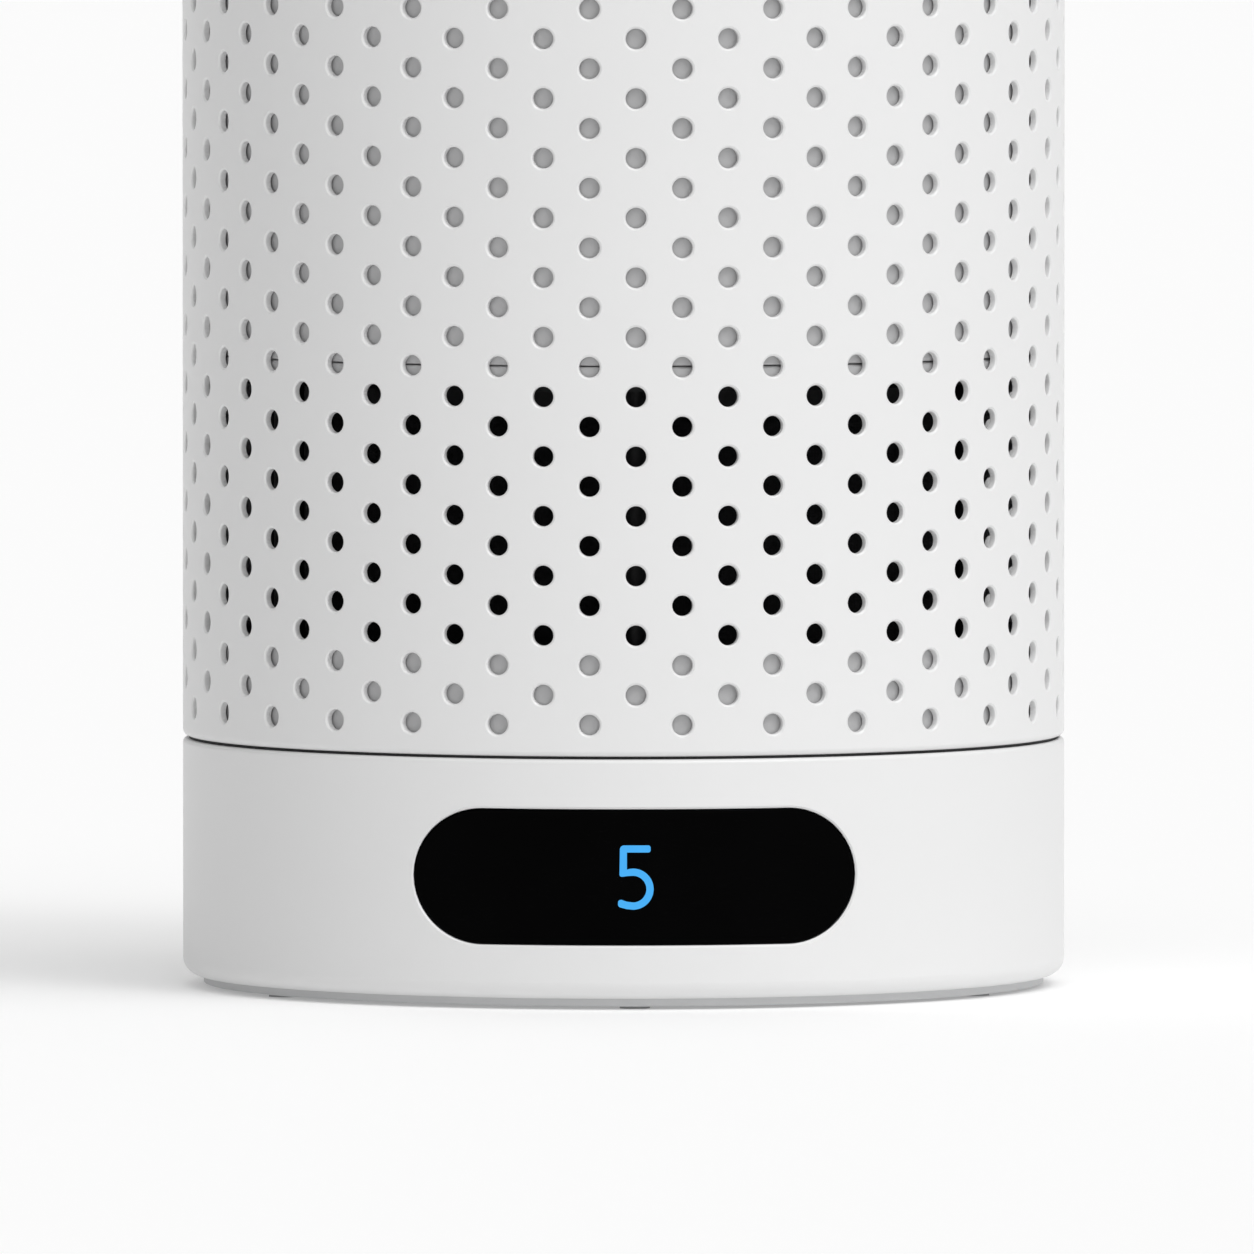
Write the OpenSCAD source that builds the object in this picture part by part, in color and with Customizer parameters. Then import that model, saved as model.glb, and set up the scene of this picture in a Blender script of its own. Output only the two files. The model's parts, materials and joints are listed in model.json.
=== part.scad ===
// Cylindrical air purifier: intake band low in the perforated shell, ring-shaped base that
// holds the display and electronics around the filter tunnel, centrifugal fan above the
// filter, and an outlet grille on top. Front is -Y, up is +Z, the origin is the centre of
// the footprint on the ground. Millimetres.

/* [Body] */
// Outer diameter of the body
body_d = 200; // [190:1:250]
// Overall height from the ground
body_h = 330; // [320:1:420]
// Wall of the base ring and the top ring
case_wall = 2.8; // [2.4:0.1:3.4]
// Height of the base ring
base_h = 53.8; // [50:0.1:70]
// Height of the plain top ring
top_h = 25; // [20:0.5:40]
// Radius of the rounded lower edge of the base and upper edge of the top ring
edge_round = 4; // [2:0.1:6]
// Height of each dark seal line between the shell and the rings
seam_h = 0.6; // [0.4:0.1:1]

/* [Foot] */
// Ground to the underside of the base ring
base_lift = 2.4; // [2:0.1:5]
// How far the grey foot ring sits in from the body
foot_inset = 4.7; // [3:0.1:8]
// How far the rubber ring stands below the foot ring
rubber_drop = 0.6; // [0.4:0.1:1.2]

/* [Shell holes] */
// Hole diameter
hole_d = 4.6; // [3:0.1:5.2]
// Holes in one row, all the way round
hole_count = 30; // [24:1:36]
// Height from one row to the next
row_pitch = 6.67; // [5.8:0.01:8]
// From the shell's end to the centre of its first row
row_margin = 7.1; // [5:0.1:12]
// Rows below the open intake band
rows_below = 3; // [2:1:4]
// Rows in the open intake band
rows_open = 9; // [7:1:12]
// Wall of the shell
shell_wall = 1.6; // [1.2:0.1:2.4]

/* [Display] */
// Width of the display window
display_w = 98.9; // [80:0.1:110]
// Height of the display window
display_h = 30.5; // [24:0.1:34]
// Centre of the display above the ground
display_z = 29.8; // [27:0.1:34]
// Height of the lit digit
digit_h = 14.4; // [10:0.1:18]
// How far the window sits below the body's surface
lens_recess = 0.4; // [0.2:0.1:0.8]

/* [Filter] */
// Outer diameter of the filter
filter_d = 148; // [130:1:150]
// Diameter of the bore through the filter
filter_bore = 96; // [80:1:100]
// Number of pleats
pleats = 64; // [40:1:80]

/* [Fan] */
// Diameter of the impeller
impeller_d = 144; // [120:1:160]
// Diameter of the hole in the deck that feeds the fan
eye_d = 92; // [80:1:96]
// Height of the impeller's blades
blade_h = 32; // [24:1:40]
// Number of blades
blades = 11; // [7:1:13]
// Number of straightening vanes over the fan
vanes = 8; // [8:4:12]

/* [Outlet and button] */
// Distance from one ring of the outlet grille to the next
grille_pitch = 5.4; // [4:0.1:6]
// Thickness of each grille ring
grille_bar = 1.8; // [1.2:0.1:2.4]
// Diameter of the button cap
button_d = 22; // [16:1:26]
// Travel of the button
button_travel = 1; // [0.5:0.1:1.5]

/* [Power inlet] */
// Bore for the barrel plug
inlet_bore = 6.3; // [5.5:0.1:6.5]
// Centre pin of the socket
inlet_pin = 2; // [1.6:0.1:2.5]
// Height of the socket above the ground
inlet_z = 24; // [16:1:34]

/* [Hidden] */

// Fits and small clearances
slip = 0.3;        // between bodies that move past each other
snug = 0.1;        // between parts that are assembled into each other
eps = 1;           // how far a cutter runs past what it cuts
pilot_gap = 0.05;  // radial room round a screw in its pilot hole

// Body levels and radii
body_r = body_d / 2;
case_in = body_r - case_wall;
base_z0 = base_lift;
base_z1 = base_z0 + base_h;
shell_z0 = base_z1 + seam_h;
top_z0 = body_h - top_h;
shell_z1 = top_z0 - seam_h;
shell_in = body_r - shell_wall;
shell_edge = min(1.4, shell_wall - 0.2);
rim_edge = 1;
floor_t = 2.4;

// Liners just behind the shell
liner_gap = 0.5;
liner_r = shell_in - liner_gap;
liner_t = 2;
liner_edge = 0.5;
liner_in = liner_r - liner_t;

// Rubber pads under the foot ring
pad_r = 3.4;
pad_sunk = 0.9;

// Filter tunnel and bottom cover
tunnel_t = 2;
filter_r = filter_d / 2;
tunnel_r = filter_r + 6.5;
tunnel_out = tunnel_r + tunnel_t;
cover_flange_r = tunnel_r + 5;
foot_in = cover_flange_r + 0.5;
foot_out = body_r - foot_inset;

// Rows of holes
function row_z(i) = shell_z0 + row_margin + i * row_pitch;
rows_total = floor((shell_z1 - shell_z0 - 2 * row_margin) / row_pitch + 0.05) + 1;
band_top_row = rows_below + rows_open;
collar_top = row_z(rows_below) - hole_d / 2 - 1.1;

// Cage between the collar and the fan deck
plate_t = 2;
cage_in = tunnel_out + 1.5;
cage_out = liner_in - 3;
cage_ring_t = 2.5;
cage_post_r = 3.4;
cage_post_at = (cage_in + cage_out) / 2;
frame_screw_len = 9;

// Deck, fan and outlet levels
deck_t = 3.2;
deck_z1 = row_z(band_top_row);
deck_z0 = deck_z1 - deck_t;
liner_z0 = deck_z1 + 0.25;
eye_r = eye_d / 2;
lip_t = 2.2;
lip_h = 6;
impeller_r = impeller_d / 2;
shroud_z0 = deck_z1 + 5.5;
shroud_t = 2;
back_z0 = shroud_z0 + shroud_t + blade_h;
back_t = 2.4;
hub_r = 31;
blade_in_r = hub_r + 7;
hub_t = 2;
hub_z0 = back_z0 + back_t - 26;
shaft_r = 3;
mount_z0 = back_z0 + back_t + 4;
mount_t = 3;
motor_board_z = mount_z0 + mount_t + 1;
vane_h = 11;
mount_tab_t = 3;
vane_t = 2;
core_r = 36;
tube_r = 28.6;
vane_ring_t = 2.8;
vane_ring_r = liner_in - 0.4;
vane_bend_r = 90;
mount_boss_z = mount_z0 + vane_h;
tube_in = 7;
tube_out = 10;
bearing_h = 5;
stator_z0 = hub_z0 + hub_t + 6;
stator_h = 14;
teeth = 9;
tooth_w = 3;
tooth_len = 10;
tooth_tip_r = 24.2;
tooth_tip_t = 2;
coil_len = 7.4;
coil_wall = 1.4;
cup_r = hub_r - hub_t - 0.1;
cup_wall = 1.8;
cup_h = 21;
rotor_magnet_t = 2.2;
blade_t = 1.6;
blade_bend_r = 45;
waist_h = 56;
guide_t = 2;
grille_top = body_h - 1.6;
grille_h = 8;
grille_skirt_r = body_r - 10.2;
grille_skirt_t = 1.8;
flange_lip_t = 3;
button_r = button_d / 2;
cap_r = tube_r + 2.2;
cap_z1 = grille_top + 0.2;
cap_t = 2.6;
guide_top = grille_top - 12.6;
switch_board_z = guide_top + 1.5;
switch_h = 3.2;
rim_in = grille_skirt_r + 0.2;

// Filter levels
filter_z0 = base_z0 + 7.2;
cap_h = 5;
seal_h = 2;

filter_z1 = deck_z0 - slip - seal_h;
bore_r = filter_bore / 2;

// Bottom cover and the magnets that hold it
cover_z0 = 0.8;
cover_flange_t = base_z0 - slip - cover_z0;
magnet_r = 2.3;
magnet_skin = 0.3;
magnet_at = (tunnel_r + foot_in) / 2;
keeper_floor = 0.9;
filter_rest_w = 2;
dish_r = 36;
dish_depth = 14;
grip_w = 13;

// Display
lens_r = body_r - lens_recess;
lens_t = 2.8;
lens_gap = 0.2;
flange_grow = 4;
gasket_t = 0.4;
gasket_w = 2.4;
flange_out = case_in - gasket_t;
flange_t = 1.6;
flange_in = flange_out - flange_t;
board_t = 1.6;
plunger_top = switch_board_z + board_t + switch_h + button_travel + 0.2;
board_front = tunnel_out + board_t + 2.4;
digit_depth = 0.6;

// Screws
screw_r = 1.5;
head_r = 2.9;
head_h = 1.8;
foot_head_h = 0.7;
column_r = 3.6;
foot_screw_len = 12;
deck_screw_len = 10;
short_screw_len = 9;
pilot_deep = 9;
pilot_h = 8;
deck_boss_h = 11;
mount_boss_h = 10;
small_shank_r = 0.85;
small_head_r = 1.9;
small_head_h = 0.9;
small_screw_len = 5.5;
top_head_r = 2.6;
column_at = foot_in + head_r + 1;
boss_r = 4.2;
deck_screw_at = liner_in - boss_r + 0.2;
top_screw_at = grille_skirt_r + 3.4;

// Electronics in the base
vent_slots = 5;
vent_step = 3;
vent_w = 1.6;
vent_h = 14;
inlet_r = 7;
inlet_box = 18;
inlet_back = tunnel_out + 1.2;
inlet_depth = 12;
ctrl_at = tunnel_out + 5.2;
ctrl_w = 64;
ctrl_h = 34;
ctrl_z0 = base_z0 + floor_t + 3;
led_w = 24;
led_h = 19;
sensor_size = [10.5, 34, 36];
inlet_set_in = 0.6;
inlet_face = body_r - inlet_set_in;
display_board_h = 26;
post_x = 32;
post_z = 9.5;
post_r = 2.2;
ribbon_t = 0.5;
ribbon_w = 12;

// Angles, anticlockwise seen from above: 0 is the right, 90 the rear, 270 the front
sensor_angle = 45;
board_angle = 150;
lead_angle = 157.5;
lead_r = tunnel_out + 5.5;
wire_r = 1.6;
button_lead_at = 8;

white = [0.93, 0.93, 0.93];
pale = [0.78, 0.79, 0.8];
foot_grey = [0.62, 0.63, 0.64];
black = [0.06, 0.06, 0.065];

$fn = 96;

// ---------- shared shapes ----------

module disc(r, z0, z1) {
    translate([0, 0, z0]) cylinder(r = r, h = z1 - z0);
}

module ring(r_in, r_out, z0, z1) {
    difference() {
        disc(r_out, z0, z1);
        disc(r_in, z0 - eps, z1 + eps);
    }
}

module polar(n, first = 0) {
    for (i = [0:n - 1]) rotate([0, 0, first + i * 360 / n]) children();
}

// Wall section in (radius, height) with rounded outer corners, ready to be revolved
module wall_section(r_in, r_out, z0, z1, round_low, round_high) {
    difference() {
        translate([r_in, z0]) square([r_out - r_in, z1 - z0]);
        translate([r_out - round_low, z0]) difference() {
            translate([0, -eps]) square([round_low + eps, round_low + eps]);
            translate([0, round_low]) circle(r = round_low, $fn = 48);
        }
        translate([r_out - round_high, z1]) difference() {
            translate([0, -round_high]) square([round_high + eps, round_high + eps]);
            translate([0, -round_high]) circle(r = round_high, $fn = 48);
        }
    }
}

// Screw along +Z with its shank above the head
module screw(len, r = screw_r, head = head_r, head_t = head_h) {
    difference() {
        union() {
            cylinder(r = head, h = head_t, $fn = 32);
            translate([0, 0, head_t - 0.1]) cylinder(r = r, h = len + 0.1, $fn = 32);
        }
        for (a = [0, 90]) rotate([0, 0, a])
            translate([-head * 0.6, -0.35, -eps]) cube([head * 1.2, 0.7, eps + head_t * 0.5]);
    }
}

// Stadium outline with its long side across X
module stadium(w, h) {
    square([w - h, h], center = true);
    for (s = [-1, 1]) translate([s * (w - h) / 2, 0]) circle(d = h, $fn = 64);
}

// Extrudes a front-view outline from radius r_in to r_out of the curved front
module curved_plate(r_in, r_out) {
    intersection() {
        translate([0, 0, display_z]) rotate([90, 0, 0]) linear_extrude(body_r + 10) children();
        ring(r_in, r_out, base_z0 - 5, base_z1 + 5);
    }
}

// Digit five in a box of height digit_h, centred, from straight bars and arcs
module digit_outline() {
    u = digit_h / 14.4;
    stroke = 1.65 * u;
    bowl_r = 4.59 * u;
    bowl_x = -0.54 * u;
    bowl_y = -digit_h / 2 + bowl_r;
    left_x = -3.62 * u;
    top_y = digit_h / 2;
    tail_r = 8.5 * u;
    tail_x = -4.05 * u;
    translate([left_x, top_y - stroke]) square([6.95 * u, stroke]);
    translate([left_x, bowl_y + bowl_r - stroke]) square([stroke, top_y - bowl_y - bowl_r + stroke]);
    translate([left_x, bowl_y + bowl_r - stroke]) square([bowl_x - left_x, stroke]);
    intersection() {
        translate([bowl_x, bowl_y]) difference() {
            circle(r = bowl_r, $fn = 64);
            circle(r = bowl_r - stroke, $fn = 64);
        }
        translate([bowl_x, -digit_h]) square([digit_h, 2 * digit_h]);
    }
    intersection() {
        translate([bowl_x, -digit_h / 2 + tail_r]) difference() {
            circle(r = tail_r, $fn = 96);
            circle(r = tail_r - stroke, $fn = 96);
        }
        translate([tail_x, -digit_h]) square([bowl_x - tail_x, digit_h]);
    }
}

// ---------- foot and base ----------

module column_places() {
    polar(6) translate([column_at, 0, 0]) children();
}

module pad_places() {
    polar(6, 30) translate([column_at, 0, 0]) children();
}

module magnet_places() {
    polar(6, 30) translate([magnet_at, 0, 0]) children();
}

module rubber_feet() {
    color(black) pad_places() cylinder(r = pad_r, h = rubber_drop + pad_sunk, $fn = 48);
}

module foot_ring() {
    color(foot_grey) difference() {
        rotate_extrude() wall_section(foot_in, foot_out, rubber_drop, base_z0, 0.3, 0.01);
        pad_places() translate([0, 0, rubber_drop - eps])
            cylinder(r = pad_r, h = eps + pad_sunk, $fn = 48);
        column_places() {
            translate([0, 0, rubber_drop - eps])
                cylinder(r = head_r + snug, h = eps + foot_head_h + 0.2, $fn = 32);
            translate([0, 0, rubber_drop]) cylinder(r = screw_r + snug, h = base_lift, $fn = 32);
        }
    }
}

module foot_screws() {
    color("silver") column_places()
        translate([0, 0, rubber_drop + 0.2]) screw(foot_screw_len, head_t = foot_head_h);
}

module base_housing() {
    color(white) difference() {
        rotate_extrude() difference() {
            wall_section(tunnel_r, body_r, base_z0, base_z1, edge_round, rim_edge);
            translate([tunnel_r - eps, base_z0 + floor_t])
                square([case_in - tunnel_r + eps, base_h]);
        }
        column_places() translate([0, 0, base_z0 - eps])
            cylinder(r = screw_r + snug, h = floor_t + 2 * eps, $fn = 32);
        translate([0, 0, display_z]) rotate([90, 0, 0])
            translate([0, 0, case_in / 2]) linear_extrude(body_r) stadium(display_w, display_h);
        translate([0, inlet_back, inlet_z]) rotate([-90, 0, 0])
            cylinder(r = inlet_r + 0.2, h = body_r, $fn = 48);
        for (i = [0:vent_slots - 1])
            rotate([0, 0, sensor_angle + (i - (vent_slots - 1) / 2) * vent_step])
                translate([case_in - 5, -vent_w / 2, display_z - vent_h / 2])
                    cube([20, vent_w, vent_h]);
        magnet_places() translate([0, 0, base_z0 + keeper_floor])
            cylinder(r = magnet_r, h = floor_t, $fn = 32);
    }
}

module keeper_plates() {
    color("silver") magnet_places() translate([0, 0, base_z0 + keeper_floor])
        cylinder(r = magnet_r - 0.1, h = floor_t - keeper_floor - 0.1, $fn = 32);
}

// ---------- display ----------

module display_posts() {
    for (x = [-post_x, post_x], z = [-post_z, post_z])
        translate([x, 0, display_z + z]) rotate([90, 0, 0]) children();
}

module display_gasket() {
    color(black) curved_plate(flange_out, case_in) difference() {
        stadium(display_w + 2 * flange_grow, display_h + 2 * flange_grow);
        stadium(display_w + 2 * (flange_grow - gasket_w), display_h + 2 * (flange_grow - gasket_w));
    }
}

module display_lens() {
    color(black) difference() {
        union() {
            curved_plate(flange_in, flange_out)
                stadium(display_w + 2 * flange_grow, display_h + 2 * flange_grow);
            curved_plate(flange_out - 0.1, lens_r)
                stadium(display_w - 2 * lens_gap, display_h - 2 * lens_gap);
            intersection() {
                display_posts() translate([0, 0, board_front]) cylinder(r = post_r, h = body_r, $fn = 32);
                disc(flange_out - 0.2, 0, base_z1);
            }
        }
        curved_plate(lens_r - digit_depth, lens_r + eps) digit_outline();
        display_posts() translate([0, 0, board_front - eps]) cylinder(r = 0.9, h = 5 + eps, $fn = 32);
    }
}

module display_digit() {
    color([0.29, 0.69, 0.98]) curved_plate(lens_r - digit_depth, lens_r + 0.05) digit_outline();
}

module led_module() {
    front = sqrt(pow(flange_in - 0.4, 2) - pow(led_w / 2, 2));
    color("white") translate([-led_w / 2, -front, display_z - led_h / 2])
        cube([led_w, front - board_front, led_h]);
}

module display_board() {
    color([0.05, 0.3, 0.16]) difference() {
        translate([-post_x - 3.5, -board_front, display_z - display_board_h / 2])
            cube([2 * post_x + 7, board_t, display_board_h]);
        display_posts() translate([0, 0, board_front - board_t - eps])
            cylinder(r = 1.2, h = board_t + 2 * eps, $fn = 32);
    }
}

module display_screws() {
    color("silver") display_posts() translate([0, 0, board_front - board_t - small_head_h])
        screw(small_screw_len, small_shank_r, small_head_r, small_head_h);
}

// ---------- electronics in the base ----------

module ribbon_cable() {
    color([0.55, 0.56, 0.58]) translate([0, 0, display_z - ribbon_w / 2])
        rotate([0, 0, 172]) rotate_extrude(angle = 70)
            translate([tunnel_out + 0.5, 0]) square([ribbon_t, ribbon_w]);
}

module control_board() {
    color([0.05, 0.3, 0.16]) rotate([0, 0, board_angle])
        translate([ctrl_at, -ctrl_w / 2, ctrl_z0]) cube([board_t, ctrl_w, ctrl_h]);
}

// Two capacitors, a connector and a small buzzer
module board_parts() {
    color(black) rotate([0, 0, board_angle]) translate([ctrl_at + board_t, 0, ctrl_z0]) {
        for (y = [-18, -9]) translate([0, y - 4, 6]) cube([4, 8, 10]);
        translate([0, 0, 20]) cube([3, 12, 8]);
        translate([0, 18, 12]) rotate([0, 90, 0]) cylinder(r = 3.5, h = 2.4, $fn = 32);
    }
}

module dc_inlet() {
    box_depth = case_in - 0.9 - inlet_back;
    color(black) difference() {
        union() {
            translate([0, inlet_back, inlet_z]) rotate([-90, 0, 0])
                cylinder(r = inlet_r, h = inlet_face - inlet_back, $fn = 48);
            translate([-inlet_box / 2, inlet_back, inlet_z - inlet_box / 2])
                cube([inlet_box, box_depth, inlet_box]);
        }
        translate([0, inlet_face - inlet_depth, inlet_z]) rotate([-90, 0, 0])
            cylinder(d = inlet_bore, h = inlet_depth + eps, $fn = 48);
    }
}

module dc_pin() {
    color("silver") translate([0, inlet_face - inlet_depth, inlet_z]) rotate([-90, 0, 0])
        cylinder(d = inlet_pin, h = inlet_depth - 1.4, $fn = 32);
}

module dust_sensor() {
    color("silver") rotate([0, 0, sensor_angle])
        translate([tunnel_out + 1, -sensor_size[1] / 2, base_z0 + floor_t + 4]) cube(sensor_size);
}

// ---------- collar, cage and shell ----------

module lead_hole(z0, z1) {
    rotate([0, 0, lead_angle]) translate([lead_r, 0, z0 - eps])
        cylinder(r = wire_r + 0.5, h = z1 - z0 + 2 * eps, $fn = 32);
}

// Filter tunnel, the plate that carries the cage, and the liner behind the lowest rows
module inner_collar() {
    floor_z = base_z0 + floor_t;
    color(pale) difference() {
        union() {
            ring(tunnel_r, tunnel_out, floor_z, shell_z0 + 0.1);
            ring(tunnel_r, liner_r, shell_z0, shell_z0 + plate_t);
            ring(liner_in, liner_r, shell_z0 + plate_t - 0.1, collar_top);
            column_places() translate([0, 0, floor_z])
                cylinder(r = column_r, h = shell_z0 - floor_z + 0.1, $fn = 32);
        }
        column_places() translate([0, 0, floor_z - eps])
            cylinder(r = screw_r + pilot_gap, h = foot_screw_len + eps, $fn = 32);
        cage_post_places() translate([0, 0, shell_z0 - eps])
            cylinder(r = screw_r + snug, h = plate_t + 2 * eps, $fn = 32);
        lead_hole(shell_z0, shell_z0 + plate_t);
    }
}

module lower_seal() {
    color(black) ring(case_in + 0.1, shell_in + 0.2, base_z1, shell_z0);
}

module cage_post_places() {
    polar(6, 30) translate([cage_post_at, 0, 0]) children();
}

// Open cage that carries the fan deck and leaves the intake band clear
module intake_frame() {
    z0 = shell_z0 + plate_t;
    color(black) difference() {
        union() {
            ring(cage_in, cage_out, z0, z0 + cage_ring_t);
            ring(cage_in, cage_out, deck_z0 - cage_ring_t, deck_z0);
            cage_post_places() translate([0, 0, z0]) cylinder(r = cage_post_r, h = deck_z0 - z0, $fn = 32);
        }
        cage_post_places() for (z = [z0 - eps, deck_z0 - frame_screw_len])
            translate([0, 0, z]) cylinder(r = screw_r + pilot_gap, h = frame_screw_len + eps, $fn = 32);
        lead_hole(z0, z0 + cage_ring_t);
        lead_hole(deck_z0 - cage_ring_t, deck_z0);
    }
}

// Screws up through the collar's plate and down through the deck into the cage's posts
module frame_screws() {
    color("silver") cage_post_places() {
        translate([0, 0, shell_z0 - head_h]) screw(plate_t + frame_screw_len - 1);
        translate([0, 0, deck_z1 + head_h]) mirror([0, 0, 1]) screw(deck_t + frame_screw_len - 1);
    }
}

module perforated_shell() {
    color(white) difference() {
        rotate_extrude() wall_section(shell_in, body_r, shell_z0, shell_z1, shell_edge, shell_edge);
        for (i = [rows_below:band_top_row - 1])
            polar(hole_count, 90 + (i % 2 == 0 ? 180 / hole_count : 0))
                translate([shell_in - 2, 0, row_z(i)]) rotate([0, 90, 0])
                    cylinder(d = hole_d, h = shell_wall + 4, $fn = 32);
    }
}

// ---------- fan chamber ----------

module deck_screw_places() {
    polar(6) translate([deck_screw_at, 0, 0]) children();
}

module fan_deck() {
    color(pale) difference() {
        union() {
            rotate_extrude() wall_section(0, liner_r, deck_z0, deck_z1, 0.01, liner_edge);
            disc(eye_r + lip_t, deck_z0, deck_z1 + lip_h);
        }
        disc(eye_r, deck_z0 - eps, deck_z1 + lip_h + eps);
        deck_screw_places() {
            translate([0, 0, deck_z0 - eps]) cylinder(r = head_r + snug, h = head_h + 0.2 + eps, $fn = 32);
            translate([0, 0, deck_z0]) cylinder(r = screw_r + snug, h = deck_t + eps, $fn = 32);
        }
        cage_post_places() translate([0, 0, deck_z0 - eps])
            cylinder(r = screw_r + snug, h = deck_t + 2 * eps, $fn = 32);
        lead_hole(deck_z0, deck_z1);
    }
}

module deck_screws() {
    color("silver") deck_screw_places() translate([0, 0, deck_z0 + 0.2]) screw(deck_screw_len);
}

module upper_liner() {
    color(pale) difference() {
        union() {
            rotate_extrude() wall_section(liner_in, liner_r, liner_z0, top_z0, liner_edge, 0.01);
            ring(grille_skirt_r - 4, liner_in + 0.1, top_z0 - flange_lip_t, top_z0);
            deck_screw_places() translate([0, 0, liner_z0]) cylinder(r = boss_r, h = deck_boss_h, $fn = 32);
            deck_screw_places() translate([0, 0, mount_boss_z])
                cylinder(r = boss_r, h = mount_boss_h, $fn = 32);
        }
        difference() {
            disc(body_r + eps, liner_z0 - eps, top_z0 + eps);
            disc(liner_r, liner_z0 - 2 * eps, top_z0 + 2 * eps);
        }
        deck_screw_places() translate([0, 0, liner_z0 - eps])
            cylinder(r = screw_r + pilot_gap, h = pilot_deep + eps, $fn = 32);
        deck_screw_places() translate([0, 0, mount_boss_z - eps])
            cylinder(r = screw_r + pilot_gap, h = pilot_h + eps, $fn = 32);
        top_screw_places() translate([0, 0, top_z0 - flange_lip_t - eps])
            cylinder(r = screw_r + snug, h = flange_lip_t + 2 * eps, $fn = 32);
    }
}

module vane_outline() {
    intersection() {
        difference() {
            circle(r = vane_ring_r - vane_ring_t + 0.5);
            circle(r = core_r - 1);
        }
        translate([0, -vane_bend_r]) difference() {
            circle(r = vane_bend_r + vane_t / 2, $fn = 128);
            circle(r = vane_bend_r - vane_t / 2, $fn = 128);
        }
        translate([0, -body_r]) square([2 * body_r, 2 * body_r]);
    }
}

module motor_mount() {
    color(pale) difference() {
        union() {
            disc(core_r, mount_z0, mount_z0 + mount_t);
            disc(tube_out, hub_z0 + hub_t + 3, mount_z0 + 0.1);
            ring(core_r - 2, core_r, mount_z0, mount_z0 + vane_h);
            ring(vane_ring_r - vane_ring_t, vane_ring_r, mount_z0, mount_z0 + vane_h);
            polar(vanes, 180 / vanes + 12) translate([0, 0, mount_z0])
                linear_extrude(vane_h) vane_outline();
            deck_screw_places() translate([0, 0, mount_boss_z - mount_tab_t])
                cylinder(r = boss_r, h = mount_tab_t, $fn = 32);
        }
        difference() {
            disc(body_r, mount_z0 - eps, mount_z0 + vane_h + eps);
            disc(vane_ring_r, mount_z0 - 2 * eps, mount_z0 + vane_h + 2 * eps);
        }
        disc(tube_in, hub_z0, mount_z0 + mount_t + eps);
        deck_screw_places() {
            translate([0, 0, mount_z0 - eps])
                cylinder(r = head_r + slip, h = vane_h - mount_tab_t + eps, $fn = 32);
            translate([0, 0, mount_boss_z - mount_tab_t - eps])
                cylinder(r = screw_r + snug, h = mount_tab_t + 2 * eps, $fn = 32);
        }
    }
}

module mount_screws() {
    color("silver") deck_screw_places()
        translate([0, 0, mount_boss_z - mount_tab_t - head_h]) screw(short_screw_len);
}

module stator_core() {
    color([0.5, 0.5, 0.52]) difference() {
        union() {
            ring(tube_out, tube_out + 3.5, stator_z0, stator_z0 + stator_h);
            polar(teeth) translate([tube_out + 3, -tooth_w / 2, stator_z0])
                cube([tooth_len, tooth_w, stator_h]);
            intersection() {
                ring(tooth_tip_r - tooth_tip_t, tooth_tip_r, stator_z0, stator_z0 + stator_h);
                polar(teeth) translate([tube_out + 5, -6.5, stator_z0]) cube([12, 13, stator_h]);
            }
        }
        disc(tube_out, stator_z0 - eps, stator_z0 + stator_h + eps);
    }
}

module stator_coils() {
    color([0.72, 0.4, 0.2]) polar(teeth) difference() {
        translate([tube_out + 4, -tooth_w / 2 - coil_wall - snug, stator_z0 - coil_wall + 0.2])
            cube([coil_len, tooth_w + 2 * coil_wall + 2 * snug, stator_h + 2 * coil_wall - 0.4]);
        translate([tube_out, -tooth_w / 2 - snug, stator_z0 - snug])
            cube([20, tooth_w + 2 * snug, stator_h + 2 * snug]);
    }
}

module motor_bearings() {
    color("silver") for (z = [hub_z0 + hub_t + 3.5, mount_z0 - 3])
        ring(shaft_r + pilot_gap, tube_in, z, z + bearing_h);
}

module motor_board() {
    color([0.05, 0.3, 0.16]) disc(core_r - 6, motor_board_z, motor_board_z + board_t);
}

module rotor_cup() {
    color("silver") difference() {
        disc(cup_r, hub_z0 + hub_t, hub_z0 + hub_t + cup_h);
        disc(cup_r - cup_wall, hub_z0 + hub_t + 1.6, hub_z0 + hub_t + cup_h + eps);
        disc(shaft_r + 2.4, hub_z0, hub_z0 + hub_t + 2);
    }
}

module rotor_magnets() {
    r = cup_r - cup_wall;
    color([0.2, 0.2, 0.21]) ring(r - rotor_magnet_t, r, stator_z0 - 1, stator_z0 + stator_h + 1);
}

module motor_shaft() {
    color("silver") disc(shaft_r, hub_z0 - 7, mount_z0 + mount_t + 0.5);
}

module blade_outline() {
    intersection() {
        difference() {
            circle(r = impeller_r - 0.5);
            circle(r = blade_in_r);
        }
        translate([blade_in_r + 14, 0]) difference() {
            circle(r = blade_bend_r + blade_t / 2);
            circle(r = blade_bend_r - blade_t / 2);
        }
        translate([-10, 0]) square([body_r, body_r]);
    }
}

module impeller() {
    color([0.25, 0.26, 0.27]) difference() {
        union() {
            ring(eye_r + lip_t + 1.2, impeller_r, shroud_z0, shroud_z0 + shroud_t);
            polar(blades) translate([0, 0, shroud_z0 + shroud_t - 0.5])
                linear_extrude(blade_h + 1) blade_outline();
            disc(impeller_r, back_z0, back_z0 + back_t);
            disc(hub_r, hub_z0, back_z0 + back_t);
            disc(shaft_r + 4, hub_z0 - 3, hub_z0 + 0.1);
        }
        disc(hub_r - hub_t, hub_z0 + hub_t, back_z0 + back_t + eps);
        disc(shaft_r, hub_z0 - 4, hub_z0 + hub_t + eps);
    }
}

module impeller_nut() {
    color("silver") difference() {
        translate([0, 0, hub_z0 - 6.4]) cylinder(r = 5.5, h = 3.4, $fn = 6);
        disc(shaft_r + 0.02, hub_z0 - 8, hub_z0);
    }
}

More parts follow.
